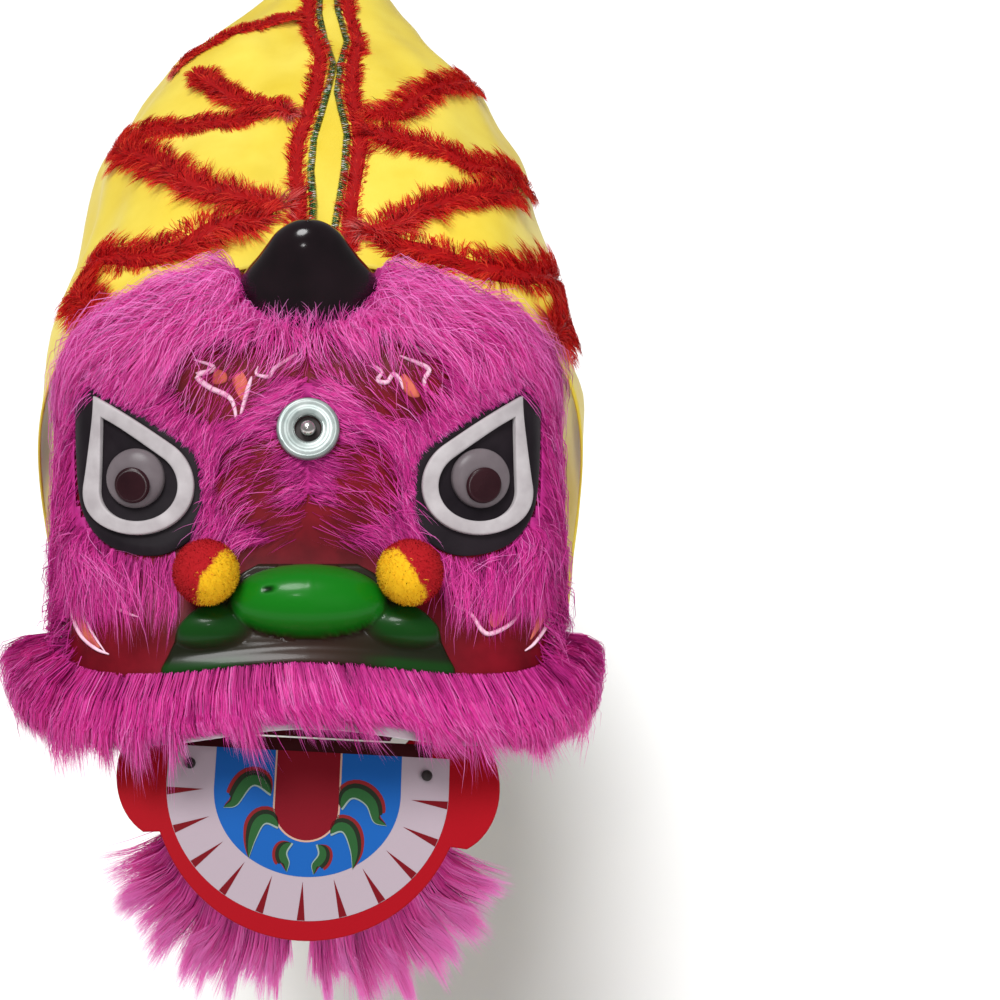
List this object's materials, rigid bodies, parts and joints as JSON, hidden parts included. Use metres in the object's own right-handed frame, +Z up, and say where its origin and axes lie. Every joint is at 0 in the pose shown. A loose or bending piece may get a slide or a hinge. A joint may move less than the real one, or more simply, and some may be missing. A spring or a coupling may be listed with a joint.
{
  "type": "lion dance costume",
  "caption": "Child's lion dance costume: a furry moulded lion head with a hanging printed jaw and a hooded back cloth.",
  "frame": {"origin": "middle of the inside of the moulded head's crown, where it rests on the wearer's head", "axes": "the lion looks along -Y, +X is on the viewer's right in front of it, +Z is up"},
  "size_m": [0.4224, 0.8319, 0.4958],
  "materials": {
    "shell_red": "satin dark red paint on a moulded head",
    "fur_magenta": "long silky synthetic fur, magenta with pink tips",
    "fur_red": "short red synthetic fur",
    "cloth_yellow": "yellow satin",
    "horn_black": "glossy black",
    "panel_black": "black, low sheen",
    "ring_white": "off-white, low sheen",
    "eye_grey": "grey, glossy",
    "pupil_brown": "very dark red brown, glossy",
    "nose_green": "glossy green",
    "metal": "polished metal",
    "pompom_yarn": "red and yellow yarn",
    "board_red": "glossy printed board",
    "braid_gold": "green, silver and gold sequins",
    "binding_white": "greyish white binding",
    "cloth_maroon": "dark maroon cloth",
    "cord_black": "black cord"
  },
  "bodies": {
    "root": {"beard_fur_left": "fur_magenta", "beard_fur_right": "fur_magenta", "brow_fur_left": "fur_magenta", "brow_fur_right": "fur_magenta", "cape_cloth": "cloth_yellow", "cheek_fur_left": "fur_magenta", "cheek_fur_right": "fur_magenta", "crest_fur_left": "fur_magenta", "crest_fur_right": "fur_magenta", "eye_panel_left": "panel_black", "eye_panel_right": "panel_black", "eye_ring_left": "ring_white", "eye_ring_right": "ring_white", "eyeball_left": "eye_grey", "eyeball_right": "eye_grey", "head_shell": "shell_red", "horn": "horn_black", "jaw_board": "board_red", "jaw_tie_left": "cord_black", "jaw_tie_right": "cord_black", "lip_binding": "binding_white", "lip_fur": "fur_magenta", "mirror_bolt": "metal", "mirror_disc": "metal", "mouth_cloth": "cloth_maroon", "nose": "nose_green", "pompom_left": "pompom_yarn", "pompom_right": "pompom_yarn", "pupil_left": "pupil_brown", "pupil_right": "pupil_brown", "side_fur_left": "fur_magenta", "side_fur_right": "fur_magenta", "spine_braid_left": "braid_gold", "spine_braid_right": "braid_gold", "spine_fur_left": "fur_red", "spine_fur_right": "fur_red", "temple_fur_left": "fur_magenta", "temple_fur_right": "fur_magenta", "zigzag_fur_left_1": "fur_red", "zigzag_fur_left_2": "fur_red", "zigzag_fur_left_3": "fur_red", "zigzag_fur_left_4": "fur_red", "zigzag_fur_left_5": "fur_red", "zigzag_fur_left_6": "fur_red", "zigzag_fur_right_1": "fur_red", "zigzag_fur_right_2": "fur_red", "zigzag_fur_right_3": "fur_red", "zigzag_fur_right_4": "fur_red", "zigzag_fur_right_5": "fur_red"}
  },
  "joints": []
}
